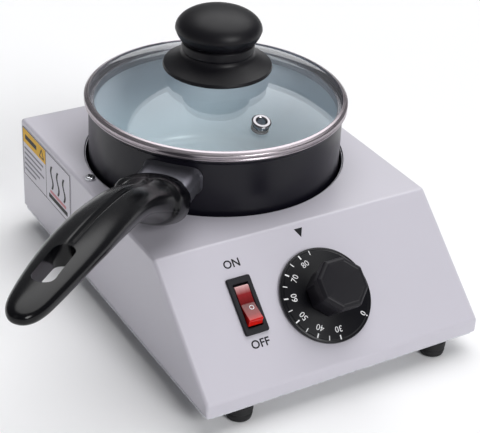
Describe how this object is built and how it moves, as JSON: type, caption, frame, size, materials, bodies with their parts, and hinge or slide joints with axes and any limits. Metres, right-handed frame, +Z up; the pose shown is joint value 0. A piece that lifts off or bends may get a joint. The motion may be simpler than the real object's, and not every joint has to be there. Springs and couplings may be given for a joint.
{
  "type": "candle wax melting pot",
  "caption": "Electric wax melting pot: sloped-front sheet casing with thermostat dial and rocker switch, lift-out coated pan with long grip, and domed glass lid with knob.",
  "frame": {"origin": "on the bench surface, below the middle of the whole outline (casing, gland and pan grip together)", "axes": "+Z up from the bench; the control panel faces -Y; +X to the right of someone facing the panel"},
  "size_m": [0.2954, 0.2956, 0.1682],
  "materials": {
    "white_paint": "fine-texture powder coat, off-white with a lilac cast",
    "zinc": "zinc plated",
    "stainless": "polished stainless steel",
    "aluminium": "spun, satin",
    "pan_coat": "satin black stove enamel outside, pale blue-grey ceramic inside",
    "ferrule_metal": "dark satin steel",
    "bakelite": "gloss black bakelite",
    "matt_black": "satin black heat-proof plastic",
    "black_nylon": "black nylon",
    "rubber": "black rubber",
    "glass": "clear tempered glass",
    "red_lens": "translucent red",
    "copper": "bare copper",
    "brass": "bare brass",
    "fibre": "white ceramic fibre",
    "phenolic": "brown phenolic moulding",
    "white_nylon": "natural nylon",
    "label_film": "printed film",
    "wire_brown": "insulation",
    "wire_blue": "insulation",
    "wire_green": "insulation",
    "silicone": "clear-white silicone"
  },
  "bodies": {
    "base": {"base_plate": "zinc", "capillary_tube": "copper", "deck_screw_left": "zinc", "deck_screw_right": "zinc", "earth_nut": "zinc", "earth_stud": "brass", "foot_front_left": "rubber", "foot_front_right": "rubber", "foot_rear_left": "rubber", "foot_rear_right": "rubber", "foot_screw_front_left": "zinc", "foot_screw_front_right": "zinc", "foot_screw_rear_left": "zinc", "foot_screw_rear_right": "zinc", "gland_body": "black_nylon", "gland_dome_nut": "black_nylon", "gland_lock_nut": "black_nylon", "gland_seal": "rubber", "heat_plate": "aluminium", "heater_clamp": "zinc", "heater_clamp_nut": "zinc", "heater_element": "stainless", "heating_well": "aluminium", "housing_shell": "white_paint", "insulation_band": "fibre", "insulation_pad": "fibre", "sensor_bulb": "copper", "sensor_bulb_clip": "stainless", "side_label": "label_film", "switch_housing": "black_nylon", "switch_terminal_lower": "brass", "switch_terminal_upper": "brass", "terminal_block": "white_nylon", "thermostat_body": "phenolic", "thermostat_screw_left": "zinc", "thermostat_screw_right": "zinc", "wire_earth": "wire_green", "wire_heater_feed": "wire_brown", "wire_live": "wire_brown", "wire_neutral": "wire_blue", "wire_switched": "wire_brown"},
    "pan": {"pan_body": "pan_coat", "handle_ferrule": "ferrule_metal", "handle_grip": "bakelite", "handle_screw": "zinc"},
    "lid": {"lid_glass": "glass", "lid_rim": "stainless", "vent_grommet": "stainless", "lid_knob_base": "matt_black", "lid_knob": "matt_black", "lid_knob_washer": "silicone", "lid_knob_screw": "stainless"},
    "dial": {"dial_skirt": "bakelite", "dial_grip": "bakelite", "dial_spring_collar": "stainless", "thermostat_shaft": "zinc"},
    "rocker": {"switch_rocker": "red_lens"}
  },
  "joints": [
    {"name": "pan_lift", "type": "slide", "parent": "base", "child": "pan", "axis": [0, 0, 1], "range_m": [0, 0.08]},
    {"name": "lid_lift", "type": "slide", "parent": "pan", "child": "lid", "axis": [0, 0, 1], "range_m": [0, 0.06]},
    {"name": "dial_turn", "type": "hinge", "parent": "base", "child": "dial", "pos_m": [0.05773, -0.08911, 0.04522], "axis": [0, -0.6604, 0.751], "range_deg": [-226, 0]},
    {"name": "rocker_tilt", "type": "hinge", "parent": "base", "child": "rocker", "pos_m": [0.01063, -0.08331, 0.04952], "axis": [1, 0, 0], "range_deg": [0, 18]}
  ]
}
